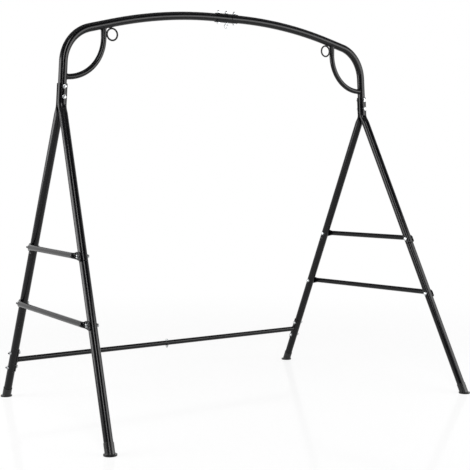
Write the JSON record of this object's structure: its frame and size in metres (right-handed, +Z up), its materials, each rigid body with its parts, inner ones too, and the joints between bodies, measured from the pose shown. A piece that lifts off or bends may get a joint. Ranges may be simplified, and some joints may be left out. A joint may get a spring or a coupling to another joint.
{
  "type": "swing stand",
  "caption": "Free-standing tubular steel stand with an arched beam on splayed A-frame legs, side rungs, a low rear bar and welded hanging rings for a porch swing.",
  "frame": {"origin": "on the floor under the middle of the beam, at the centre of the footprint", "axes": "+X along the beam to the right-hand A-frame, -Y the front, where the feet stand wider apart, +Z up"},
  "size_m": [2.0344, 1.3034, 1.8451],
  "materials": {
    "black_powder_coat": "satin black powder coat on steel tube",
    "zinc_plated_steel": "bright zinc-plated hex bolts and nuts",
    "black_plastic": "black moulded plastic foot caps"
  },
  "bodies": {
    "root": {"bar_plate_bolt_lower_left": "zinc_plated_steel", "bar_plate_bolt_lower_right": "zinc_plated_steel", "bar_plate_bolt_upper_left": "zinc_plated_steel", "bar_plate_bolt_upper_right": "zinc_plated_steel", "bar_plate_left": "black_powder_coat", "bar_plate_nut_lower_left": "zinc_plated_steel", "bar_plate_nut_lower_right": "zinc_plated_steel", "bar_plate_nut_upper_left": "zinc_plated_steel", "bar_plate_nut_upper_right": "zinc_plated_steel", "bar_plate_right": "black_powder_coat", "beam_left": "black_powder_coat", "beam_right": "black_powder_coat", "corner_brace_left": "black_powder_coat", "corner_brace_right": "black_powder_coat", "eye_bolt_middle": "zinc_plated_steel", "foot_cap_front_left": "black_plastic", "foot_cap_front_right": "black_plastic", "foot_cap_rear_left": "black_plastic", "foot_cap_rear_right": "black_plastic", "hanging_ring_left": "black_powder_coat", "hanging_ring_right": "black_powder_coat", "lower_leg_front_left": "black_powder_coat", "lower_leg_front_right": "black_powder_coat", "lower_leg_rear_left": "black_powder_coat", "lower_leg_rear_right": "black_powder_coat", "lower_rung_left": "black_powder_coat", "lower_rung_right": "black_powder_coat", "post_bolt_lower_left": "zinc_plated_steel", "post_bolt_lower_right": "zinc_plated_steel", "post_bolt_upper_left": "zinc_plated_steel", "post_bolt_upper_right": "zinc_plated_steel", "rear_bar_bolt": "zinc_plated_steel", "rear_bar_left": "black_powder_coat", "rear_bar_right": "black_powder_coat", "rung_bolt_lower_front_left": "zinc_plated_steel", "rung_bolt_lower_front_right": "zinc_plated_steel", "rung_bolt_lower_rear_left": "zinc_plated_steel", "rung_bolt_lower_rear_right": "zinc_plated_steel", "rung_bolt_upper_front_left": "zinc_plated_steel", "rung_bolt_upper_front_right": "zinc_plated_steel", "rung_bolt_upper_rear_left": "zinc_plated_steel", "rung_bolt_upper_rear_right": "zinc_plated_steel", "rung_nut_lower_front_left": "zinc_plated_steel", "rung_nut_lower_front_right": "zinc_plated_steel", "rung_nut_lower_rear_left": "zinc_plated_steel", "rung_nut_lower_rear_right": "zinc_plated_steel", "rung_nut_upper_front_left": "zinc_plated_steel", "rung_nut_upper_front_right": "zinc_plated_steel", "rung_nut_upper_rear_left": "zinc_plated_steel", "rung_nut_upper_rear_right": "zinc_plated_steel", "splice_bolt_left": "zinc_plated_steel", "splice_bolt_right": "zinc_plated_steel", "splice_plate_bottom": "black_powder_coat", "splice_plate_top": "black_powder_coat", "upper_leg_front_left": "black_powder_coat", "upper_leg_front_right": "black_powder_coat", "upper_leg_rear_left": "black_powder_coat", "upper_leg_rear_right": "black_powder_coat", "upper_rung_left": "black_powder_coat", "upper_rung_right": "black_powder_coat"}
  },
  "joints": []
}
